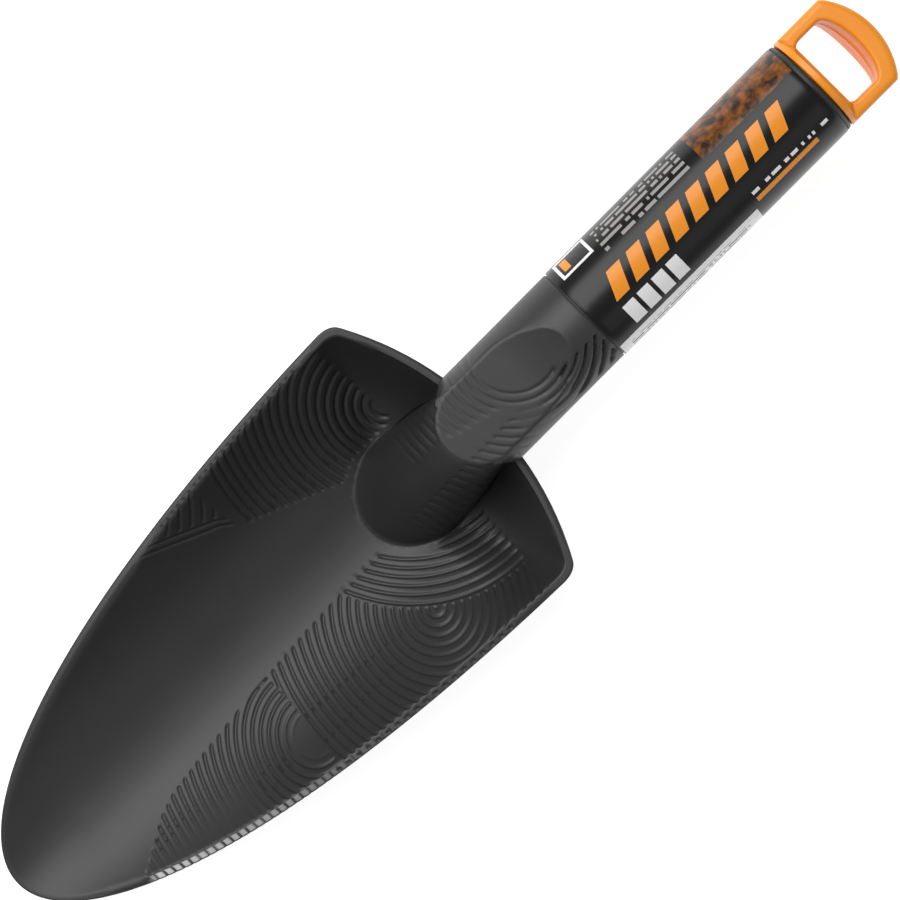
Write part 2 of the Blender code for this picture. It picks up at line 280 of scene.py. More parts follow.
def left_waves(x, side):
    """Depth of the arcs on the left wall, and of the slanted lines in front. The side counts outwards."""
    over = (side - edge_at(LEFT_EDGE, x)) * LEFT_EDGE_SLANT
    arcs = LEFT_ARCS_DEPTH * arc_grooves(LEFT_ARCS, x, side, LEFT_ARCS_HALF_WIDTH)
    arcs = arcs * inside(over, LEFT_ARCS_GAP, NO_LIMIT, 0.5)
    slanted = LEFT_SLANTS_DEPTH * arc_grooves(LEFT_SLANTS, x, side)
    slanted = slanted * inside(over, LEFT_SLANTS_GAP, NO_LIMIT, 0.5)
    along = sum(grooves(over, line, LINE_APART, LINE_HALF_WIDTH) for line in LEFT_LINES)
    along = LEFT_LINES_DEPTH * along * inside(over, 0.0, LEFT_LINES_END, 0.3)
    in_front = (slanted + along) * inside(x, *LEFT_SLANTS_SPAN, 1.0)
    near_arcs = distance_to(LEFT_ARCS, x, side) < LEFT_ARCS_REACH
    lines = np.where(near_arcs, arcs, in_front) * clear_of_foot(x, side)
    return lines * inside(x, LEFT_START, WAVES_END, 1.5)


def rim_marks(marks, x, from_edge):
    first, pitch, half_width, along, across, depth = marks
    shape = grooves(x, first, pitch, half_width) * inside(x, *along, 1.0) * inside(from_edge, *across, 0.3)
    return depth * shape


def lip_marks(x, side, from_edge):
    """Depth of the marks on the rim's flat: pads and pockets on the right, the arcs' ends on the left."""
    right = rim_marks(PADS, x, from_edge) + rim_marks(POCKETS, x, from_edge)
    return np.where(side > 0.0, right, rim_marks(TICKS, x, from_edge))


def bowl_waves(x, side):
    return np.where(side > 0.0, right_waves(x, side), left_waves(x, -side))


def rest_waves(x, side):
    """Depth of the rings that cross the nose, the thumb rest and the handle behind it."""
    ring = distance_to(REST_RINGS, x, side)
    left = inside(side, RINGS_LEFT_SIDE, edge_at(RINGS_LEFT_EDGE, x), 2.0) * inside(x, *RINGS_LEFT_SPAN, 1.5)
    sweep = inside(ring, *SWEEP_RADII, 0.5) * inside(x, *SWEEP_SPAN, 1.5) * inside(side, *SWEEP_SIDES, 1.0)
    right = inside(side, *RINGS_RIGHT_SIDES, 0.6) * inside(x, *RINGS_RIGHT_SPAN, 1.0)
    right = right * (1.0 - RINGS_FAINT_SHARE * inside(x, *RINGS_FAINT_SPAN, 3.0))
    shown = np.maximum(np.maximum(left, sweep), right) * inside(ring, RINGS_INNER, NO_LIMIT, 0.4)
    depth = RINGS_DEPTH - RINGS_ON_REST_LESS * inside(x, *RINGS_ON_REST, 1.0)
    depth = depth + RINGS_ON_HANDLE_MORE * inside(x, *RINGS_ON_HANDLE, 3.0)
    return depth * arc_grooves(REST_RINGS, x, side) * shown


# ---------------------------------------------------------------- meshes

def split_quads(part, relief):
    """Two triangles for each quad, divided along the diagonal that follows the groove."""
    start, right = part[:-1, :-1].reshape(-1), part[:-1, 1:].reshape(-1)
    far, below = part[1:, 1:].reshape(-1), part[1:, :-1].reshape(-1)
    along = np.abs(relief[start] - relief[far]) <= np.abs(relief[right] - relief[below])
    first = np.where(along, (start, right, far), (start, right, below))
    second = np.where(along, (start, far, below), (right, far, below))
    return first.T.tolist() + second.T.tolist()


def block_faces(ids, fine, relief):
    """Triangles where the surface is fine, elsewhere one face a block with the points its neighbours use."""
    faces = []
    for row, column in np.ndindex(fine.shape):
        first_row, first_column = row * BLOCK, column * BLOCK
        part = ids[first_row : first_row + BLOCK + 1, first_column : first_column + BLOCK + 1]
        if fine[row, column]:
            faces += split_quads(part, relief)
            continue
        sides = (part[0, :], part[:, -1], part[-1, ::-1], part[::-1, 0])
        beside = ((row - 1, column), (row, column + 1), (row + 1, column), (row, column - 1))
        loop = []
        for points, place in zip(sides, beside):
            outside = min(place) < 0 or place[0] >= fine.shape[0] or place[1] >= fine.shape[1]
            loop += points[:-1].tolist() if outside or fine[place] else points[:1].tolist()
        faces.append(loop)
    return faces


def clean_loop(loop):
    """A face's points without the repeats that welding leaves."""
    kept = [point for place, point in enumerate(loop) if point != loop[place - 1]]
    return kept if len(set(kept)) == len(kept) and len(kept) > 2 else None


def solid(name, grids, caps=()):
    """A closed mesh object from (points, depth of the grooves, fine points) grids and flat caps."""
    points, faces, start = [], [], 0
    relief = np.concatenate([depth.reshape(-1) for _, depth, _ in grids])
    for grid, _, marked in grids:
        rows, columns = grid.shape[:2]
        cells = marked[1:, 1:] | marked[:-1, 1:] | marked[1:, :-1] | marked[:-1, :-1]
        ids = np.arange(rows * columns).reshape(rows, columns) + start
        blocks = cells.reshape((rows - 1) // BLOCK, BLOCK, (columns - 1) // BLOCK, BLOCK).any(axis=(1, 3))
        points.append(grid.reshape(-1, 3))
        faces += block_faces(ids, blocks, relief)
        start += rows * columns
    for cap in caps:
        points.append(np.asarray(cap))
        faces.append(list(range(start, start + len(cap))))
        start += len(cap)
    points = np.concatenate(points)
    _, first, welded = np.unique(np.round(points, 4), axis=0, return_index=True, return_inverse=True)
    welded = welded.reshape(-1)
    loops = [clean_loop(welded[face].tolist()) for face in faces]
    loops = [loop for loop in loops if loop]
    used, compact = np.unique(np.concatenate(loops), return_inverse=True)
    places = to_row(points[first][used])
    lengths = [len(loop) for loop in loops]
    ends = np.cumsum(lengths)
    loops = [compact[end - length : end].tolist() for end, length in zip(ends, lengths)]
    mesh = bpy.data.meshes.new(name)
    mesh.from_pydata(places, [], loops)
    shape = bmesh.new()
    shape.from_mesh(mesh)
    bmesh.ops.recalc_face_normals(shape, faces=shape.faces)
    if shape.calc_volume(signed=True) < 0.0:
        bmesh.ops.reverse_faces(shape, faces=shape.faces)
    bmesh.ops.triangulate(shape, faces=[face for face in shape.faces if len(face.verts) > 4])
    shape.to_mesh(mesh)
    shape.free()
    made = bpy.data.objects.new(name, mesh)
    bpy.context.scene.collection.objects.link(made)
    return made


def plain_solid(name, grid, caps=()):
    """A closed mesh object from one grid without grooves, all of it fine."""
    size = grid.shape[:2]
    return solid(name, [(grid, np.zeros(size), np.ones(size, bool))], caps)


def combine(target, other, operation):
    """Applies a Boolean to the target and removes the other object."""
    modifier = target.modifiers.new(other.name, "BOOLEAN")
    modifier.object = other
    modifier.operation = operation
    modifier.solver = "MANIFOLD"
    graph = bpy.context.evaluated_depsgraph_get()
    mesh = bpy.data.meshes.new_from_object(target.evaluated_get(graph))
    target.modifiers.clear()
    target.data = mesh
    bpy.data.objects.remove(other)


def paint_pad_highlight(item):
    """Stores a painted highlight at each point, for the material: the rim's pads are painted bright near the
    tip, as if they caught the light.
    """
    mesh = item.data
    places = np.empty(3 * len(mesh.vertices))
    mesh.vertices.foreach_get("co", places)
    x, y, z = places.reshape(-1, 3).T / MM
    station, side, height = x - TIP, -y, z - AXIS
    from_edge = half_width(np.clip(station, 0.0, BLADE_LENGTH)) - side
    on_lip = (np.abs(height - rim_height(station)) < 0.12) * (station < SHOULDER_START)
    gaps = grooves(station, PADS[0], PADS[1], PAD_HIGHLIGHT_GAP_HALF_WIDTH)
    pads = (1.0 - gaps) * np.interp(station, *PAD_HIGHLIGHT_ALONG)
    layer = mesh.attributes.new("painted_pad_highlight", "FLOAT", "POINT")
    layer.data.foreach_set("value", pads * on_lip * inside(from_edge, *PAD_HIGHLIGHT_ACROSS, 0.1))


def shade(item, angle):
    item.data.shade_smooth()
    item.data.set_sharp_from_angle(angle=math.radians(angle))


# ---------------------------------------------------------------- the blade

def half_width(station):
    along = np.sqrt(station / BLADE_LENGTH)
    return WIDTH_GROWTH * along - WIDTH_TAPER * along**3


def back_edge(side):
    return BLADE_LENGTH - BACK_EDGE_RADIUS + np.sqrt(BACK_EDGE_RADIUS**2 - side**2)


def blade_outline():
    """(station, side) along half the blade's outline, from the tip to the middle of the back edge."""
    tip = SPINE_START * np.linspace(0.0, 1.0, TIP_STEPS + 1)[:-1] ** 2
    side = np.linspace(SPINE_START, SHOULDER_START, SIDE_STEPS + 1)[:-1]
    stations = np.concatenate((tip, side))
    edge = np.stack((stations, half_width(stations)), axis=1)
    start = np.array((SHOULDER_START, half_width(SHOULDER_START)))
    end = np.array((back_edge(SHOULDER_END_WIDTH), SHOULDER_END_WIDTH))
    t = np.linspace(0.0, 1.0, SHOULDER_STEPS + 1)[:-1, None]
    shoulder = (1 - t) ** 2 * start + 2 * t * (1 - t) * np.array(SHOULDER_CORNER) + t**2 * end
    sides = np.linspace(SHOULDER_END_WIDTH, 0.0, BACK_STEPS + 1)
    back = np.stack((back_edge(sides), sides), axis=1)
    return np.concatenate((edge, shoulder, back))


def rim_height(station):
    return -RIM_SAG * (1.0 - np.minimum(station / SHOULDER_START, 1.0)) ** 2


def floor_height(station):
    return FLOOR_AT_TIP + (FLOOR_AT_BACK - FLOOR_AT_TIP) * np.minimum(station / SPINE_END, 1.0)


def curve_power(station, side):
    turn = np.arctan2(np.maximum(station - SPINE_END, 0.0), side) / BACK_CURVE_ANGLE
    return SIDE_CURVE_POWER + (BACK_CURVE_POWER - SIDE_CURVE_POWER) * smoothstep(turn)


OUTLINE = blade_outline()
SPINE = np.clip(OUTLINE[:, 0], SPINE_START, SPINE_END)
REACH = np.hypot(OUTLINE[:, 0] - SPINE, OUTLINE[:, 1])
LIP = LIP_WIDTH_AT_TIP + (LIP_WIDTH - LIP_WIDTH_AT_TIP) * smoothstep(OUTLINE[:, 0] / 30.0)
RIM = rim_height(OUTLINE[:, 0])
FLOOR = floor_height(SPINE)
POWER = curve_power(OUTLINE[:, 0], OUTLINE[:, 1])


def bowl_height(station, side):
    """The height of the bowl's smooth surface at a place in front of the back edge, behind SPINE_START."""
    side = np.abs(side)
    fan = OUTLINE[:, 0] > SPINE_END
    angles = np.arctan2(OUTLINE[fan, 0] - SPINE_END, OUTLINE[fan, 1])
    angle = np.arctan2(np.maximum(station - SPINE_END, 0.0), side)
    behind = station > SPINE_END
    reach = np.where(behind, np.interp(angle, angles, (REACH - LIP)[fan]), half_width(station) - LIP_WIDTH)
    rim = np.where(behind, np.interp(angle, angles, RIM[fan]), rim_height(station))
    power = np.where(behind, np.interp(angle, angles, POWER[fan]), SIDE_CURVE_POWER)
    out = np.hypot(np.maximum(station - SPINE_END, 0.0), side) / reach
    floor = floor_height(station)
    return floor + (rim - floor) * np.minimum(out, 1.2) ** power


def even_steps(count):
    """Shares of the way out from the spine that divide the curved wall evenly."""
    t = np.linspace(0.0, 1.0, 2000)
    length = np.cumsum(np.sqrt(1.0 + (0.7 * SIDE_CURVE_POWER * t ** (SIDE_CURVE_POWER - 1.0)) ** 2))
    length -= length[0]
    return np.interp(np.linspace(0.0, 1.0, count + 1), length / length[-1], t)


def profile_rows():
    """(distance out from the spine, height) of each row, from the spine over the bowl and lip to the edge."""
    inner = REACH - LIP
    corner_out = 1.0 - LIP_INNER_ROUNDING / inner
    rows = []
    for share in even_steps(BOWL_STEPS):
        out = share * corner_out
        rows.append((out * inner, FLOOR + (RIM - FLOOR) * out**POWER))
    low = (corner_out * inner, FLOOR + (RIM - FLOOR) * corner_out**POWER)
    corner = (inner, RIM)
    high = (inner + LIP_CORNER_END, RIM)
    for t in (0.25, 0.5, 0.75, 1.0):
        weights = ((1 - t) ** 2, 2 * t * (1 - t), t**2)
        rows.append(tuple(np.tensordot(weights, (low, corner, high), 1)))
    outer = REACH - LIP_OUTER_ROUNDING
    for t in np.linspace(0.0, 1.0, LIP_STEPS + 1)[1:]:
        rows.append((high[0] + (outer - high[0]) * t, RIM))
    for angle in np.radians((30.0, 60.0, 90.0)):
        drop = LIP_OUTER_ROUNDING * (1.0 - math.cos(angle))
        rows.append((outer + LIP_OUTER_ROUNDING * math.sin(angle), RIM - drop))
    return rows


def along_spokes(rows):
    """Points of each row, from its distance out from the spine and its height."""
    directions = np.stack((OUTLINE[:, 0] - SPINE, OUTLINE[:, 1]), axis=1) / REACH[:, None]
    out = np.array([row[0] for row in rows])
    height = np.array([row[1] for row in rows])
    station = SPINE + directions[:, 0] * out
    side = directions[:, 1] * out
    return np.stack((station, side, height), axis=-1)


def normals_of(points):
    across = np.gradient(points, axis=0)
    along = np.gradient(points, axis=1)
    normal = np.cross(along, across)
    length = np.linalg.norm(normal, axis=-1, keepdims=True)
    normal = np.where(length > 1e-7, normal / np.maximum(length, 1e-7), (0.0, 0.0, 1.0))
    return normal * np.where(normal[..., 2:] < 0.0, -1.0, 1.0)


def underside(top, normal):
    """The bowl's outside, a wall's thickness under the inside, from the rim to the spine."""
    picks = np.round(np.linspace(BOWL_STEPS, 0, UNDER_STEPS)).astype(int)
    wall = WALL_AT_TIP + (WALL - WALL_AT_TIP) * smoothstep((SPINE - SPINE_START) / 40.0)
    points = top[picks] - normal[picks] * wall[:, None]
    out = np.hypot(points[..., 0] - SPINE, points[..., 1])
    scale = np.minimum(1.0, (REACH - UNDER_EDGE_GAP) / np.maximum(out, 1e-6))
    points[..., 0] = SPINE + (points[..., 0] - SPINE) * scale
    points[..., 1] *= scale
    points[..., 2] = np.minimum(points[..., 2], RIM - UNDER_RIM_GAP)
    points[-1] = np.stack((SPINE, 0.0 * SPINE, FLOOR), axis=1) - np.array(UNDER_SPINE) * wall[:, None]
    return points


def make_blade():
    rows = profile_rows()
    smooth = along_spokes(rows)
    normal = normals_of(smooth)
    normal[0] = UNDER_SPINE
    normal[:, (0, -1), 1] = 0.0
    grids = []
    on_lip = np.arange(len(rows)) > BOWL_STEPS + 1
    from_edge = REACH - np.array([row[0] for row in rows])
    for way in (1.0, -1.0):
        station = smooth[..., 0]
        side = way * np.maximum(smooth[..., 1], 1e-9)
        depth = bowl_waves(station, side) * inside(from_edge, LIP_WIDTH - 0.1, 100.0, 0.4)
        depth += lip_marks(station, side, from_edge) * on_lip[:, None]
        top = smooth - normal * depth[..., None]
        grid = np.concatenate((top, underside(smooth, normal)))
        grid = grid * (1.0, way, 1.0)
        relief = np.zeros(grid.shape[:2])
        relief[: len(rows)] = depth
        marked = relief > LEAST_DEPTH
        at_shoulder = (OUTLINE[:, 0] > SHOULDER_START - 1.0) & (OUTLINE[:, 1] > SHOULDER_INNER)
        marked[BOWL_STEPS : len(rows), :] |= (OUTLINE[:, 0] < TIP_CURVE_END) | at_shoulder
        grids.append((grid, relief, marked))
    return solid("trowel_moulding", grids)


# ---------------------------------------------------------------- nose, tube and thumb rest

# The nose's grid: columns for half its back, its flanks and its round front, and rows for its height
NOSE_BACK_STEPS = 4
NOSE_FLANK_STEPS = 24
NOSE_FRONT_STEPS = 136
NOSE_ROWS = 118
NOSE_INTO_FLOOR = 0.9
FILLET_ROWS = (0.8, 0.6, 0.42, 0.28, 0.18, 0.12)
FILLET_LEAST = 0.12
FILLET_FADE = (0.6, 0.3)
IN_BACK_WALL = 0.9

# The tube's grid
TUBE_FINE = (160.0, 193.6, 97)
TUBE_COLUMNS = 241
TUBE_SQUARE_FRONT = 154.8
RECESS_DEPTH = 0.6
RECESS_GAP = 0.3
RECESS_CORNER = 0.12
BORE_CHAMFER = 0.4
BORE_CONE = 5.0
BORE_MOUTH = 265.0

# The block that scoops out the thumb rest
CUTTER_START = 146.0
CUTTER_HALF_WIDTH = 14.0
CUTTER_HEIGHT = 22.0
CUTTER_STEPS = (128, 84)


def between(low, high, share):
    return low + (high - low) * share


def back_wall(height):
    rise = np.clip(1.0 - height / FLOOR_AT_BACK, 0.0, 1.0)
    return between(SPINE_END, BLADE_LENGTH - LIP_WIDTH, rise ** (1.0 / BACK_CURVE_POWER))


def nose_section(height):
    """The station of the nose's middle and its radius at a height."""
    share = (height - NOSE_FOOT[2]) / (NOSE_TOP[2] - NOSE_FOOT[2])
    return between(NOSE_FOOT[0], NOSE_TOP[0], share), between(NOSE_FOOT[1], NOSE_TOP[1], share), share


def nose_points(height, arc, straight):
    """Points of the nose's outline: arc goes from -1 to 1 round the front, straight adds flanks and back."""
    centre, radius, share = nose_section(height)
    back = np.maximum(between(*NOSE_BACK, share), back_wall(height) + NOSE_INTO_WALL)
    angle = arc * math.pi / 2
    along = np.abs(straight)
    flank = centre + (back - centre) * np.minimum(along, 1.0)
    station = np.where(along > 0.0, flank, centre - radius * np.cos(angle))
    side = radius * np.sin(angle) * np.where(along > 1.0, 2.0 - along, 1.0)
    return np.stack(np.broadcast_arrays(station, side, height), axis=-1)


def nose_columns():
    """(arc, straight, outward station, outward side) round the outline, from the middle of the back."""
    flank = np.linspace(0.0, 1.0, NOSE_FLANK_STEPS + 1)[1:]
    back = np.linspace(1.0, 2.0, NOSE_BACK_STEPS + 1)[1:]
    half = np.concatenate((flank, back))
    front = np.linspace(-1.0, 1.0, NOSE_FRONT_STEPS + 1)
    straight = np.concatenate((half[::-1], 0.0 * front, half))
    arc = np.concatenate((-np.ones(len(half)), front, np.ones(len(half))))
    return arc, straight, -np.cos(arc * math.pi / 2), np.sin(arc * math.pi / 2)


def fillet_offset(above):
    """How far the foot's fillet stands out of the nose's wall at a height above the bowl."""
    t = np.clip(above / FOOT_FILLET, FILLET_LEAST, 1.0)
    slope = (1.0 - FILLET_LEAST) / math.sqrt(1.0 - (1.0 - FILLET_LEAST) ** 2)
    extra = slope * np.maximum(FILLET_LEAST * FOOT_FILLET - above, 0.0)
    return FOOT_FILLET * (1.0 - np.sqrt(1.0 - (1.0 - t) ** 2)) + extra


def nose_foot(arc, straight):
    """The height at which each column of the nose comes out of the bowl."""
    heights = np.linspace(NOSE_FOOT[2], 6.0, 500)[:, None]
    wall = nose_points(heights, arc, straight)
    clear = wall[..., 2] > bowl_height(wall[..., 0], wall[..., 1])
    never_clear = 40
    first = np.where(clear.any(axis=0), clear.argmax(axis=0), never_clear)
    foot = heights[first, 0]
    foot[np.abs(straight) > IN_BACK_WALL] = NOSE_FOOT[2] + 1.0
    return foot


def make_nose():
    arc, straight, out_station, out_side = nose_columns()
    foot = nose_foot(arc, straight)
    steps = np.concatenate((np.linspace(1.0, 0.0, NOSE_ROWS), np.zeros(len(FILLET_ROWS) + 1)))
    fillet_rows = FOOT_FILLET * np.array(FILLET_ROWS)
    low = np.concatenate((np.full(NOSE_ROWS, FOOT_FILLET), fillet_rows, (-NOSE_INTO_FLOOR,)))
    height = foot + low[:, None] + (NOSE_ABOVE - foot - FOOT_FILLET) * steps[:, None]
    smooth = nose_points(height, arc, straight)
    fade_end, fade_length = FILLET_FADE
    offset = fillet_offset(height - foot) * smoothstep((FILLET_TOP - foot) / 3.0)
    offset = offset * smoothstep((fade_end - np.abs(straight)) / fade_length)
    smooth[..., 0] += out_station * offset
    smooth[..., 1] += out_side * offset
    normal = normals_of(smooth)
    outward = normal[..., 0] * out_station + normal[..., 1] * out_side
    normal *= np.where(outward < 0.0, -1.0, 1.0)[..., None]
    depth = rest_waves(smooth[..., 0], smooth[..., 1]) * inside(height, -NO_LIMIT, REST_HEIGHT - 1.2, 0.9)
    depth *= inside(height - foot, 2.0, NO_LIMIT, 1.5) * (np.abs(straight) < 0.5)
    grid = smooth - normal * depth[..., None]
    marked = depth > LEAST_DEPTH
    marked[-9:] = True
    return solid("nose", [(grid, depth, marked)], caps=(grid[0, :-1], grid[-1, :-1]))


def tube_profile():
    """(station, radius) points from the tube's front over its outside, round its end and back up the bore."""
    recess = SLEEVE_RADIUS - RECESS_DEPTH
    recess_start = SLEEVE_START - RECESS_GAP
    recess_end = SLEEVE_END + RECESS_GAP
    profile = [(x, TUBE_RADIUS) for x in np.linspace(*TUBE_FINE)]
    profile += [(SLEEVE_START - 0.45, TUBE_RADIUS), (recess_start, TUBE_RADIUS - RECESS_CORNER)]
    profile += [(recess_start, recess)]
    profile += [(x, recess) for x in np.linspace(SLEEVE_START, SLEEVE_END, 12)]
    profile += [(recess_end, recess), (recess_end, TUBE_RADIUS)]
    for angle in np.radians((0.0, 30.0, 60.0, 90.0)):
        station = TUBE_END - TUBE_EDGE * (1 - math.sin(angle))
        profile.append((station, TUBE_RADIUS - TUBE_EDGE * (1 - math.cos(angle))))
    profile += [(TUBE_END, BORE_RADIUS + BORE_CHAMFER), (TUBE_END - BORE_CHAMFER, BORE_RADIUS)]
    profile += [(x, BORE_RADIUS) for x in np.linspace(BORE_MOUTH, BORE_START, 10)]
    profile += [(BORE_START - BORE_CONE, CORE_RADIUS), (CORE_START, CORE_RADIUS), (CORE_START, 0.0)]
    while (len(profile) + 2) % BLOCK:
        profile.append(profile[-1])
    return np.array(profile)


def make_tube():
    """A turned tube with its bore, a recess under the sleeve, and a slanted front end beside the nose."""
    angle = np.linspace(-math.pi, math.pi, TUBE_COLUMNS)
    stations, radii = tube_profile().T[:, :, None] + 0.0 * angle
    short = TUBE_RADIUS - TUBE_RADIUS * np.abs(np.sin(angle))
    above = np.maximum(TUBE_FRONT - TUBE_FRONT_SLANT * short, TUBE_SQUARE_FRONT)
    below = back_wall(TUBE_RADIUS * np.cos(angle)) + TUBE_INTO_WALL
    front = np.where(np.cos(angle) > 0.0, above, below)[None]
    stations = np.maximum(stations, front + 0.6)
    stations = np.concatenate((159.0 + 0.0 * front, front, front + 0.5, stations))
    end_radii = [radius + 0.0 * front for radius in (0.0, TUBE_RADIUS - 0.5, TUBE_RADIUS)]
    radii = np.concatenate((*end_radii, radii))
    outside = (np.cos(angle) > 0.1) * (np.abs(radii - TUBE_RADIUS) < 0.01)
    depth = rest_waves(stations, radii * np.sin(angle)) * outside
    depth[:4] = 0.0
    radii = radii - depth
    grid = np.stack((stations, radii * np.sin(angle), radii * np.cos(angle)), axis=-1)
    marked = depth > LEAST_DEPTH
    marked[:6] = True
    marked[TUBE_FINE[2] :] = True
    return solid("tube", [(grid, depth, marked)])


def rest_surface(station):
    start, end = REST_RAMP
    share = np.clip((station - start) / (end - start), 0.0, 1.1)
    return REST_HEIGHT + (TUBE_RADIUS + 0.3 - REST_HEIGHT) * share**REST_RAMP_POWER


def make_rest_cutter():
    """The room over the thumb rest. Its underside is the rest's surface, with rounded edges and waves."""
    station = np.linspace(CUTTER_START, REST_RAMP[1] + 0.8, CUTTER_STEPS[0] + 1)[:, None]
    side = np.linspace(-CUTTER_HALF_WIDTH, CUTTER_HALF_WIDTH, CUTTER_STEPS[1] + 1)[None, :]
    height = rest_surface(station) + 0.0 * side
    centre, radius, _ = nose_section(REST_HEIGHT)
    half = np.sqrt(np.maximum(TUBE_RADIUS**2 - height**2, 0.0))
    within = np.where(station < centre, radius - np.hypot(station - centre, side), half - np.abs(side))
    fall = REST_EDGE_SLOPE * np.maximum(REST_EDGE - within, 0.0) ** 2 / (2 * REST_EDGE)
    beyond = REST_EDGE_SLOPE * (REST_EDGE / 2 + np.minimum(-within, 2.0))
    fall = np.where(within < 0.0, beyond, fall) * inside(station, 0.0, 183.0, 4.0)
    depth = rest_waves(station, side) * inside(within, 0.3, NO_LIMIT, 0.4)
    grid = np.stack(np.broadcast_arrays(station, side, height - fall - depth), axis=-1)
    marked = (depth > LEAST_DEPTH) | (np.abs(within) < 1.4)
    border = np.concatenate((grid[0, :-1], grid[:-1, -1], grid[-1, :0:-1], grid[:0:-1, 0]))
    top = border * (1, 1, 0) + (0, 0, CUTTER_HEIGHT)
    caps = [top]
    for here in range(len(border)):
        after = (here + 1) % len(border)
        caps.append((border[here], border[after], top[after], top[here]))
    return solid("rest_cutter", [(grid, depth, marked)], caps)


def make_body():
    body = make_blade()
    combine(body, make_nose(), "UNION")
    combine(body, make_tube(), "UNION")
    combine(body, make_rest_cutter(), "DIFFERENCE")
    # Paints a highlight on the rim's pads, as a point attribute for the material
    paint_pad_highlight(body)
    shade(body, 60)
    return body


# ---------------------------------------------------------------- sleeve and cap

FILM = 0.3
SEAM_ANGLE = math.radians(172)
SEAM_STEP = 0.07
CAP_RADIUS = 13.3
CAP_START = 270.7
CAP_EDGE = 0.25
COLLAR_END = 272.2
DOME_END = 279.0
PLUG_RADIUS = 10.5
PLUG_BORE_RADIUS = 8.5
PLUG_BORE_END = 269.0
PLUG_EDGE = 0.4
SNAP = (260.0, 1.0, 0.4)
LOOP_HALF_THICKNESS = 7.0
LOOP_HALF_WIDTH = 13.2
LOOP_SHOULDER = 285.0
LOOP_END_RADIUS = 21.0
LOOP_EDGE = 1.6
LOOP_MIDDLE = (278.5, 0.0)
LOOP_STEPS = 288
LOOP_CORNER = 0.7
LOOP_OVERLAP = 0.3
DOME_ROOM = 14.0
HOLE_CLEARANCE = 0.5
HOLE_START = 272.8
HOLE_CORNER = 2.8
HOLE_SHOULDER = 281.0
HOLE_END = 283.7
HOLE_HALF_WIDTH = 9.7
HOLE_TAPER = 2.5
HOLE_EDGE = 0.9
PARTING_RISE = 0.12


def turned(name, profile, steps):
    """A turned shape about the handle's axis, from (station, radius) points that go round its section."""
    points = list(profile)
    while (len(points) - 1) % BLOCK:
        points.append(points[-1])
    angle = np.linspace(-math.pi, math.pi, steps + 1)
    station, radius = np.array(points).T[:, :, None] + 0.0 * angle
    grid = np.stack((station, radius * np.sin(angle), radius * np.cos(angle)), axis=-1)
    return plain_solid(name, grid)


def make_sleeve():
    """The printed film round the handle: slightly uneven, with a lengthwise overlap underneath."""
    outer = [(x, SLEEVE_RADIUS) for x in np.linspace(SLEEVE_START, SLEEVE_END, 38)]
    inner = [(x, SLEEVE_RADIUS - FILM) for x in (SLEEVE_END, SLEEVE_START)]
    ends = [(SLEEVE_START, SLEEVE_RADIUS - 0.1)]
    profile = ends + [(SLEEVE_START + 0.1, SLEEVE_RADIUS)] + outer[1:-1] + [(SLEEVE_END - 0.1, SLEEVE_RADIUS)]
    profile += [(SLEEVE_END, SLEEVE_RADIUS - 0.1)] + inner + ends
    sleeve = turned("sleeve_film", profile, 160)
    for point in sleeve.data.vertices:
        side, height = point.co.y, point.co.z - AXIS * MM
        radius = math.hypot(side, height)
        if radius < (SLEEVE_RADIUS - 0.05) * MM:
            continue
        angle = math.atan2(side, height)
        along = (point.co.x / MM - TIP - SLEEVE_START) / (SLEEVE_END - SLEEVE_START)
        lap = SEAM_STEP * smoothstep((abs(angle) - SEAM_ANGLE) * 60.0)
        uneven = 0.02 * math.sin(3.0 * angle + 4.0 * along) * math.sin(math.pi * along)
        grown = 1.0 + (uneven - 0.02 + lap) * MM / radius
        point.co.y = side * grown
        point.co.z = AXIS * MM + height * grown
    shade(sleeve, 40)
    return sleeve


def seen_from(middle, outline, count):
    """The points of an outline in evenly spaced directions from a place inside it."""
    away = outline - middle
    angle = np.arctan2(away[:, 1], away[:, 0])
    order = np.argsort(angle)
    reach = np.hypot(*away[order].T)
    turn = np.linspace(-math.pi, math.pi, count + 1)[:-1]
    radius = np.interp(turn, angle[order], reach, period=2 * math.pi)
    return middle + radius[:, None] * np.stack((np.cos(turn), np.sin(turn)), axis=1)


def dense(corners, spacing=0.1):
    """The closed outline with points close together."""
    closed = np.vstack((corners, corners[:1]))
    length = np.concatenate(([0.0], np.cumsum(np.hypot(*np.diff(closed, axis=0).T))))
    at = np.arange(0.0, length[-1], spacing)
    return np.stack((np.interp(at, length, closed[:, 0]), np.interp(at, length, closed[:, 1])), axis=1)


def ringed(name, rings):
    """A ring-shaped solid from (outline, height) sections that go round it and end where they start."""
    while (len(rings) - 1) % BLOCK:
        rings.append(rings[-1])
    grid = []
    for outline, height in rings:
        ring = np.hstack((outline, height + 0.0 * outline[:, :1]))
        grid.append(np.vstack((ring, ring[:1])))
    return plain_solid(name, np.array(grid))


def loop_outline(inset):
    """The loop from above, moved in by a distance: straight sides, then an arc round the far end."""
    side = LOOP_HALF_WIDTH - inset
    radius = LOOP_END_RADIUS - inset
    reach = math.asin((side - LOOP_CORNER) / radius)
    angle = np.linspace(-reach, reach, 60)
    centre = LENGTH - LOOP_END_RADIUS
    arc = np.stack((centre + radius * np.cos(angle), radius * np.sin(angle)), axis=1)
    start = COLLAR_END - LOOP_OVERLAP + inset
    shoulder = LOOP_SHOULDER - 0.3 * inset
    corners = np.vstack(((start, -side), (shoulder, -side), arc, (shoulder, side), (start, side)))
    return seen_from(LOOP_MIDDLE, dense(corners), LOOP_STEPS)


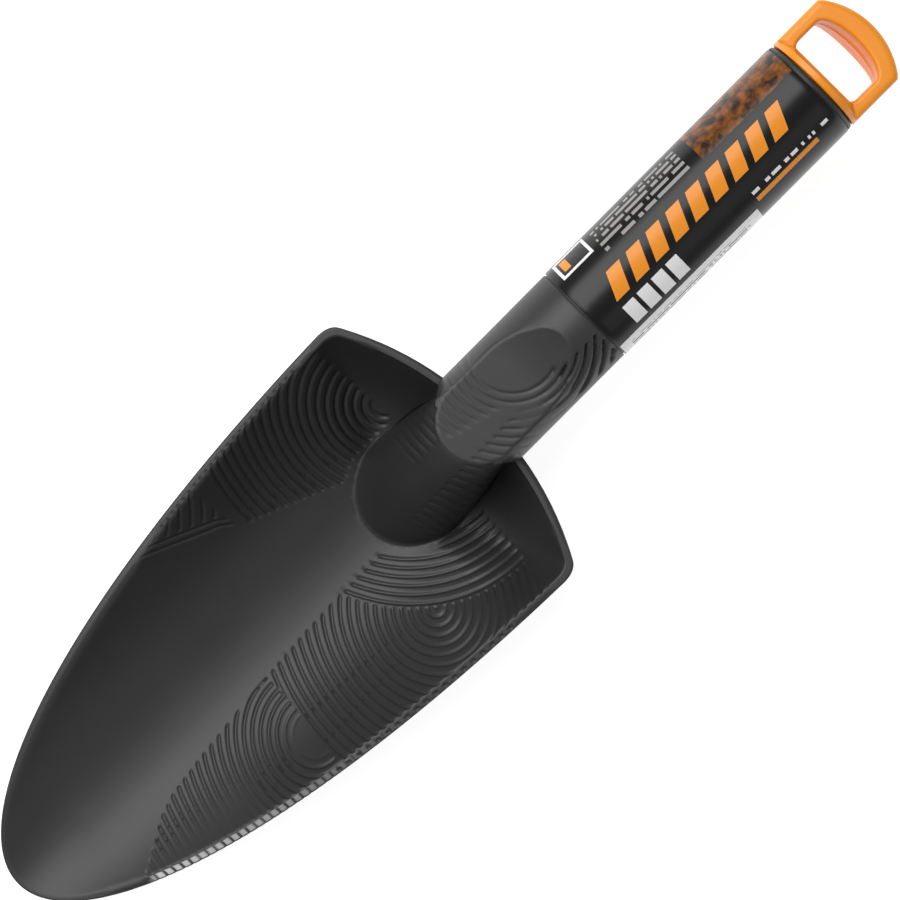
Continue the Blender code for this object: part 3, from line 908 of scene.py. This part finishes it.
def hole_outline(height, grown):
    """The loop's hole at a height, moved out by a distance: square at the handle, round at the far end."""
    turn = np.linspace(0.0, math.pi / 2, 13)
    radius = HOLE_CORNER + grown
    start = HOLE_START - grown
    half = HOLE_HALF_WIDTH + grown
    corner = np.stack((start + radius * (1 - np.cos(turn)), radius * (1 - np.sin(turn)) - half), axis=1)
    turn = np.linspace(-math.pi / 2, math.pi / 2, 61)
    reach = HOLE_END + HOLE_TAPER * height / (2 * LOOP_HALF_THICKNESS) + grown - HOLE_SHOULDER
    bow = np.stack((HOLE_SHOULDER + reach * np.cos(turn), half * np.sin(turn)), axis=1)
    corners = np.vstack((corner, bow, corner[::-1] * (1, -1)))
    return seen_from(LOOP_MIDDLE, dense(corners), LOOP_STEPS)


def make_hole_room():
    """The room through the hole, a little larger than the hole, which the dome leaves free."""
    grid = []
    for height in np.linspace(-DOME_ROOM, DOME_ROOM, 2 * BLOCK + 1):
        section = hole_outline(height, HOLE_CLEARANCE)
        ring = np.hstack((section, height + 0.0 * section[:, :1]))
        grid.append(np.vstack((ring, ring[:1])))
    grid = np.array(grid)
    return plain_solid("hole_room", grid, caps=(grid[0, :-1], grid[-1, :-1]))


def across(start, end):
    """Sections that lead from one to another over a flat."""
    return [(start[0] + (end[0] - start[0]) * t, start[1]) for t in (0.2, 0.4, 0.6, 0.8)]


def make_ring():
    """The loop itself: rounded outside, a hole with a parting line, and flats between them."""
    outside = []
    for angle in np.linspace(-math.pi / 2, math.pi / 2, 15):
        level = math.copysign(LOOP_HALF_THICKNESS - LOOP_EDGE, angle) + LOOP_EDGE * math.sin(angle)
        outside.append((loop_outline(LOOP_EDGE * (1 - math.cos(angle))), level))
    edge = LOOP_HALF_THICKNESS - HOLE_EDGE
    upper = [(0.25, 0.0), (0.5 * edge, 0.0)]
    for angle in np.linspace(0.0, math.pi / 2, 9):
        upper.append((edge + HOLE_EDGE * math.sin(angle), HOLE_EDGE * (1 - math.cos(angle))))
    lower = [(-height, grown) for height, grown in upper]
    hole = []
    for height, grown in upper[::-1] + [(0.0, -PARTING_RISE)] + lower:
        hole.append((hole_outline(height, grown), height))
    rings = outside + across(outside[-1], hole[0]) + hole + across(hole[-1], outside[0]) + outside[:1]
    return ringed("loop_ring", rings)


def make_loop():
    """The turned cap with its plug, opened through the hole and joined to the ring."""
    profile = []
    for t in np.linspace(0.0, 1.0, 19)[::-1] ** 1.5:
        profile.append((COLLAR_END + (DOME_END - COLLAR_END) * t, CAP_RADIUS * math.sqrt(1.0 - t)))
    profile += [(CAP_START + CAP_EDGE, CAP_RADIUS), (CAP_START, CAP_RADIUS - CAP_EDGE)]
    profile += [(CAP_START, PLUG_RADIUS)]
    snap_station, snap_width, snap_rise = SNAP
    for t in np.linspace(-1.0, 1.0, 9):
        profile.append((snap_station - snap_width * t, PLUG_RADIUS + snap_rise * (1 - t * t)))
    profile += [(PLUG_START + PLUG_EDGE, PLUG_RADIUS), (PLUG_START, PLUG_RADIUS - PLUG_EDGE)]
    profile += [(PLUG_START, PLUG_BORE_RADIUS)]
    profile += [(PLUG_BORE_END, PLUG_BORE_RADIUS), (PLUG_BORE_END, 0.0)]
    cap = turned("cap_with_loop", profile, 144)
    combine(cap, make_hole_room(), "DIFFERENCE")
    combine(cap, make_ring(), "UNION")
    shade(cap, 40)
    return cap


# ---------------------------------------------------------------- materials

CHARCOAL = ((0.021, 0.0212, 0.0216, 1.0), (0.026, 0.0262, 0.0266, 1.0))
CHARCOAL_ROUGHNESS = (0.41, 0.50)
CHARCOAL_CLOUDS = 45.0
# Painted highlight: the colour that the rim's pads are painted to look lit
PAD_HIGHLIGHT_COLOUR = (0.55, 0.55, 0.55, 1.0)
GRAIN_SCALE = 3200.0
GRAIN_STRENGTH = 0.35
GRAIN_HEIGHT = 0.02 * MM

ORANGE = ((0.83, 0.268, 0.010, 1.0), (0.87, 0.290, 0.013, 1.0))
ORANGE_ROUGHNESS = (0.30, 0.40)
ORANGE_CLOUDS = 90.0

FILM_BLACK = ((0.0035, 0.0035, 0.0037, 1.0), (0.0055, 0.0055, 0.0058, 1.0))
FILM_ROUGHNESS = (0.24, 0.30)
FILM_CLOUDS = 60.0
FILM_SPECULAR = 0.35
SOIL = ((0.020, 0.010, 0.005, 1.0), (0.30, 0.095, 0.012, 1.0))
SOIL_SCALE = 420.0
WHITE_INK = (0.80, 0.80, 0.80, 1.0)
ORANGE_INK = (0.80, 0.27, 0.02, 1.0)
GREY_INK = (0.30, 0.29, 0.28, 1.0)
BLACK_INK = (0.012, 0.012, 0.013, 1.0)
FADED_INK = (0.05, 0.05, 0.05, 1.0)

# The print: rectangles as (first station, last station, left, right), the sides measured round the film
BIG_BARS = (203.6, 260.0, -3.5, 3.3)
BIG_BARS_SLANT = 0.45
SMALL_BARS = (202.0, 220.6, 5.2, 11.4)
NOTES = (208.8, 236.2, -16.9, -6.2)
END_NOTES = (242.1, 266.6, 7.2, 9.4)
END_BAR = (242.1, 262.0, 10.1, 11.6)
WHITE_PANEL = (195.2, 240.6, 13.2, 27.0)
PANEL_NOTES = (198.0, 237.0, 15.5, 25.5)
SOIL_PANEL = (239.7, 268.7, -25.0, -6.0)
ICON = (197.0, 206.8, -18.4, -9.8)
ICON_MIDDLE = (197.8, 206.0, -17.2, -10.6)
ICON_MARK = (198.6, 200.6, -16.2, -11.6)

# Stripes as (start, pitch, share that is printed), and rows of dashes as (row pitch, dash length)
BIG_STRIPES = (203.6, 6.5, 0.66)
SMALL_STRIPES = (202.0, 4.7, 0.76)
END_STRIPES = (7.2, 2.9, 0.60)
DASHES = (2.0, 0.7)
FINE_DASHES = (1.5, 0.6)
DASH_ROW_SHARE = 0.5
DASH_GAPS = 0.28


def new_material(name):
    material = bpy.data.materials.new(name)
    material.use_nodes = True
    tree = material.node_tree
    return material, tree, tree.nodes["Principled BSDF"]


def noise_on(tree, place, scale, detail):
    """A noise texture fixed to the object."""
    noise = tree.nodes.new("ShaderNodeTexNoise")
    noise.inputs["Scale"].default_value = scale
    noise.inputs["Detail"].default_value = detail
    tree.links.new(place.outputs["Object"], noise.inputs["Vector"])
    return noise.outputs["Fac"]


def ramp_between(tree, value, colours, low, high):
    """The first colour below low, the second above high."""
    ramp = tree.nodes.new("ShaderNodeValToRGB")
    for element, position, colour in zip(ramp.color_ramp.elements, (low, high), colours):
        element.position = position
        element.color = colour
    tree.links.new(value, ramp.inputs["Fac"])
    return ramp.outputs["Color"]


def vary_roughness(tree, shader, value, span):
    rough = tree.nodes.new("ShaderNodeMapRange")
    rough.inputs["To Min"].default_value = span[0]
    rough.inputs["To Max"].default_value = span[1]
    tree.links.new(value, rough.inputs["Value"])
    tree.links.new(rough.outputs["Result"], shader.inputs["Roughness"])


def mix_colours(tree, share, first, second):
    """The first colour where the share is 0, the second where it is 1. Each is a colour or a socket."""
    mix = tree.nodes.new("ShaderNodeMix")
    mix.data_type = "RGBA"
    tree.links.new(share, mix.inputs[0])
    for socket, colour in ((mix.inputs[6], first), (mix.inputs[7], second)):
        if isinstance(colour, tuple):
            socket.default_value = colour
        else:
            tree.links.new(colour, socket)
    return mix.outputs[2]


def make_charcoal():
    """Dark composite with soft clouds and a fine grain, with a painted highlight on the rim's pads."""
    material, tree, shader = new_material("moulded_charcoal")
    place = tree.nodes.new("ShaderNodeTexCoord")
    cloud = noise_on(tree, place, CHARCOAL_CLOUDS, 4.0)
    grain = noise_on(tree, place, GRAIN_SCALE, 3.0)
    bump = tree.nodes.new("ShaderNodeBump")
    bump.inputs["Strength"].default_value = GRAIN_STRENGTH
    bump.inputs["Distance"].default_value = GRAIN_HEIGHT
    pad_highlight_share = tree.nodes.new("ShaderNodeAttribute")
    pad_highlight_share.attribute_name = "painted_pad_highlight"
    base = ramp_between(tree, cloud, CHARCOAL, 0.3, 0.7)
    # Mixes the painted highlight on the rim's pads into the base colour
    colour = mix_colours(tree, pad_highlight_share.outputs["Fac"], base, PAD_HIGHLIGHT_COLOUR)
    tree.links.new(colour, shader.inputs["Base Color"])
    vary_roughness(tree, shader, cloud, CHARCOAL_ROUGHNESS)
    tree.links.new(grain, bump.inputs["Height"])
    tree.links.new(bump.outputs["Normal"], shader.inputs["Normal"])
    return material


def make_orange():
    material, tree, shader = new_material("moulded_orange")
    place = tree.nodes.new("ShaderNodeTexCoord")
    cloud = noise_on(tree, place, ORANGE_CLOUDS, 3.0)
    tree.links.new(ramp_between(tree, cloud, ORANGE, 0.3, 0.7), shader.inputs["Base Color"])
    vary_roughness(tree, shader, cloud, ORANGE_ROUGHNESS)
    return material


def math_node(tree, operation, *values):
    node = tree.nodes.new("ShaderNodeMath")
    node.operation = operation
    for socket, value in zip(node.inputs, values):
        if isinstance(value, (int, float)):
            socket.default_value = value
        else:
            tree.links.new(value, socket)
    return node.outputs["Value"]


def patch(tree, station, arc, rectangle):
    """1 inside a rectangle of the print, 0 outside it."""
    low, high, left, right = rectangle
    along = math_node(tree, "COMPARE", station, (low + high) / 2, (high - low) / 2)
    across = math_node(tree, "COMPARE", arc, (left + right) / 2, (right - left) / 2)
    return math_node(tree, "MULTIPLY", along, across)


def stripes(tree, value, start, pitch, share):
    """1 over a share of each pitch, 0 between."""
    turns = math_node(tree, "DIVIDE", math_node(tree, "SUBTRACT", value, start), pitch)
    return math_node(tree, "LESS_THAN", math_node(tree, "FRACT", turns), share)


def small_print(tree, station, arc, row_pitch, mark_pitch):
    """Rows of small dashes with gaps, which stand for fine print."""
    row = math_node(tree, "FLOOR", math_node(tree, "DIVIDE", arc, row_pitch))
    mark = math_node(tree, "FLOOR", math_node(tree, "DIVIDE", station, mark_pitch))
    cell = tree.nodes.new("ShaderNodeCombineXYZ")
    tree.links.new(row, cell.inputs["X"])
    tree.links.new(mark, cell.inputs["Y"])
    chance = tree.nodes.new("ShaderNodeTexWhiteNoise")
    tree.links.new(cell.outputs["Vector"], chance.inputs["Vector"])
    shown = math_node(tree, "GREATER_THAN", chance.outputs["Value"], DASH_GAPS)
    in_row = stripes(tree, arc, 0.0, row_pitch, DASH_ROW_SHARE)
    return math_node(tree, "MULTIPLY", shown, in_row)


def film_places(tree, place):
    """Sockets for the station and for the way round the film from its top, both in millimetres."""
    parts = tree.nodes.new("ShaderNodeSeparateXYZ")
    tree.links.new(place.outputs["Object"], parts.inputs["Vector"])
    station = math_node(tree, "SUBTRACT", math_node(tree, "DIVIDE", parts.outputs["X"], MM), TIP)
    height = math_node(tree, "SUBTRACT", parts.outputs["Z"], AXIS * MM)
    angle = math_node(tree, "ARCTAN2", math_node(tree, "MULTIPLY", parts.outputs["Y"], -1.0), height)
    return station, math_node(tree, "MULTIPLY", angle, SLEEVE_RADIUS)


def print_layers(tree, station, arc, soil):
    """(where, ink) of each layer of the print, from the lowest to the topmost."""
    slant = math_node(tree, "ADD", station, math_node(tree, "MULTIPLY", arc, BIG_BARS_SLANT))
    dashes = small_print(tree, station, arc, *DASHES)
    fine_dashes = small_print(tree, station, arc, *FINE_DASHES)
    patterned = (
        (slant, BIG_BARS, stripes(tree, slant, *BIG_STRIPES), ORANGE_INK),
        (station, SMALL_BARS, stripes(tree, station, *SMALL_STRIPES), WHITE_INK),
        (station, NOTES, dashes, GREY_INK),
        (station, END_NOTES, dashes, WHITE_INK),
        (station, END_BAR, stripes(tree, arc, *END_STRIPES), ORANGE_INK),
        (station, WHITE_PANEL, None, WHITE_INK),
        (station, PANEL_NOTES, fine_dashes, FADED_INK),
        (station, SOIL_PANEL, None, soil),
        (station, ICON, None, WHITE_INK),
        (station, ICON_MIDDLE, None, BLACK_INK),
        (station, ICON_MARK, None, ORANGE_INK),
    )
    layers = []
    for along, rectangle, pattern, ink in patterned:
        where = patch(tree, along, arc, rectangle)
        layers.append((math_node(tree, "MULTIPLY", where, pattern) if pattern else where, ink))
    return layers


def make_film():
    """Black film with a generic print: bars, panels and dashes instead of words."""
    material, tree, shader = new_material("printed_film")
    place = tree.nodes.new("ShaderNodeTexCoord")
    station, arc = film_places(tree, place)
    speckle = noise_on(tree, place, SOIL_SCALE, 8.0)
    colour = mix_colours(tree, speckle, *FILM_BLACK)
    for where, ink in print_layers(tree, station, arc, ramp_between(tree, speckle, SOIL, 0.38, 0.72)):
        colour = mix_colours(tree, where, colour, ink)
    tree.links.new(colour, shader.inputs["Base Color"])
    shader.inputs["Specular IOR Level"].default_value = FILM_SPECULAR
    vary_roughness(tree, shader, noise_on(tree, place, FILM_CLOUDS, 2.0), FILM_ROUGHNESS)
    return material


# ---------------------------------------------------------------- stage

FLOOR_SIZE = 6.0
FLOOR_COLOUR = (0.5, 0.5, 0.5, 1.0)
FLOOR_ROUGHNESS = 0.9
FLOOR_GLOW = 0.85
WHITE = (1.0, 1.0, 1.0, 1.0)
WORLD_STRENGTH = 0.30

CAMERA_DISTANCE = 0.900
CAMERA_LENS = 152.0
CAMERA_TILT = math.radians(3)
CAMERA_TURN = math.radians(45.17)
CAMERA_AIM = Vector((0.00453, 0.0, AXIS * MM))

# Lamps: name, direction from the aim, distance, size in metres and power in watts
LAMPS = (
    ("key", (-0.05, 0.51, 0.86), 1.0, (1.1, 0.9), 11.0),
    ("fill", (0.1, -0.75, 0.65), 1.4, (0.8, 0.8), 0.8),
)


def make_floor():
    bpy.ops.mesh.primitive_plane_add(size=FLOOR_SIZE, location=(0.0, 0.0, cad_box[0][2]))
    floor = bpy.context.object
    floor.name = "studio_floor"
    material, _, shader = new_material("studio_floor")
    shader.inputs["Base Color"].default_value = FLOOR_COLOUR
    shader.inputs["Roughness"].default_value = FLOOR_ROUGHNESS
    shader.inputs["Emission Color"].default_value = WHITE
    shader.inputs["Emission Strength"].default_value = FLOOR_GLOW
    floor.data.materials.append(material)


def camera_axes():
    """The camera looks down, with the handle up to the right in its picture and its end a little nearer."""
    back = Vector((math.sin(CAMERA_TILT), 0.0, math.cos(CAMERA_TILT)))
    along = Vector((math.cos(CAMERA_TILT), 0.0, -math.sin(CAMERA_TILT)))
    across = Vector((0.0, 1.0, 0.0))
    right = math.cos(CAMERA_TURN) * along - math.sin(CAMERA_TURN) * across
    up = math.sin(CAMERA_TURN) * along + math.cos(CAMERA_TURN) * across
    return right, up, back


def make_camera():
    data = bpy.data.cameras.new("camera")
    data.lens = CAMERA_LENS
    data.clip_end = 20.0
    camera = bpy.data.objects.new("camera", data)
    bpy.context.scene.collection.objects.link(camera)
    right, up, back = camera_axes()
    turned_to_aim = Matrix((right, up, back)).transposed().to_4x4()
    camera.matrix_world = Matrix.Translation(CAMERA_AIM + back * CAMERA_DISTANCE) @ turned_to_aim
    bpy.context.scene.camera = camera


def make_light(name, direction, distance, size, power):
    data = bpy.data.lights.new(name, "AREA")
    data.shape = "RECTANGLE"
    data.size, data.size_y = size
    data.energy = power
    lamp = bpy.data.objects.new(name, data)
    bpy.context.scene.collection.objects.link(lamp)
    way = Vector(direction).normalized()
    lamp.location = CAMERA_AIM + way * distance
    lamp.rotation_euler = way.to_track_quat("Z", "Y").to_euler()


def make_world():
    world = bpy.data.worlds.new("studio")
    world.use_nodes = True
    background = world.node_tree.nodes["Background"]
    background.inputs["Color"].default_value = WHITE
    background.inputs["Strength"].default_value = WORLD_STRENGTH
    bpy.context.scene.world = world
    bpy.context.scene.view_settings.view_transform = "Standard"


def finish_piece(piece, node, material):
    piece.data.materials.clear()
    piece.data.materials.append(material)
    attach(piece, "root")
    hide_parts(node)


make_camera()
for lamp in LAMPS:
    make_light(*lamp)
make_world()
make_floor()
finish_piece(make_body(), "trowel_body", make_charcoal())
finish_piece(make_sleeve(), "label_sleeve", make_film())
finish_piece(make_loop(), "hang_loop", make_orange())
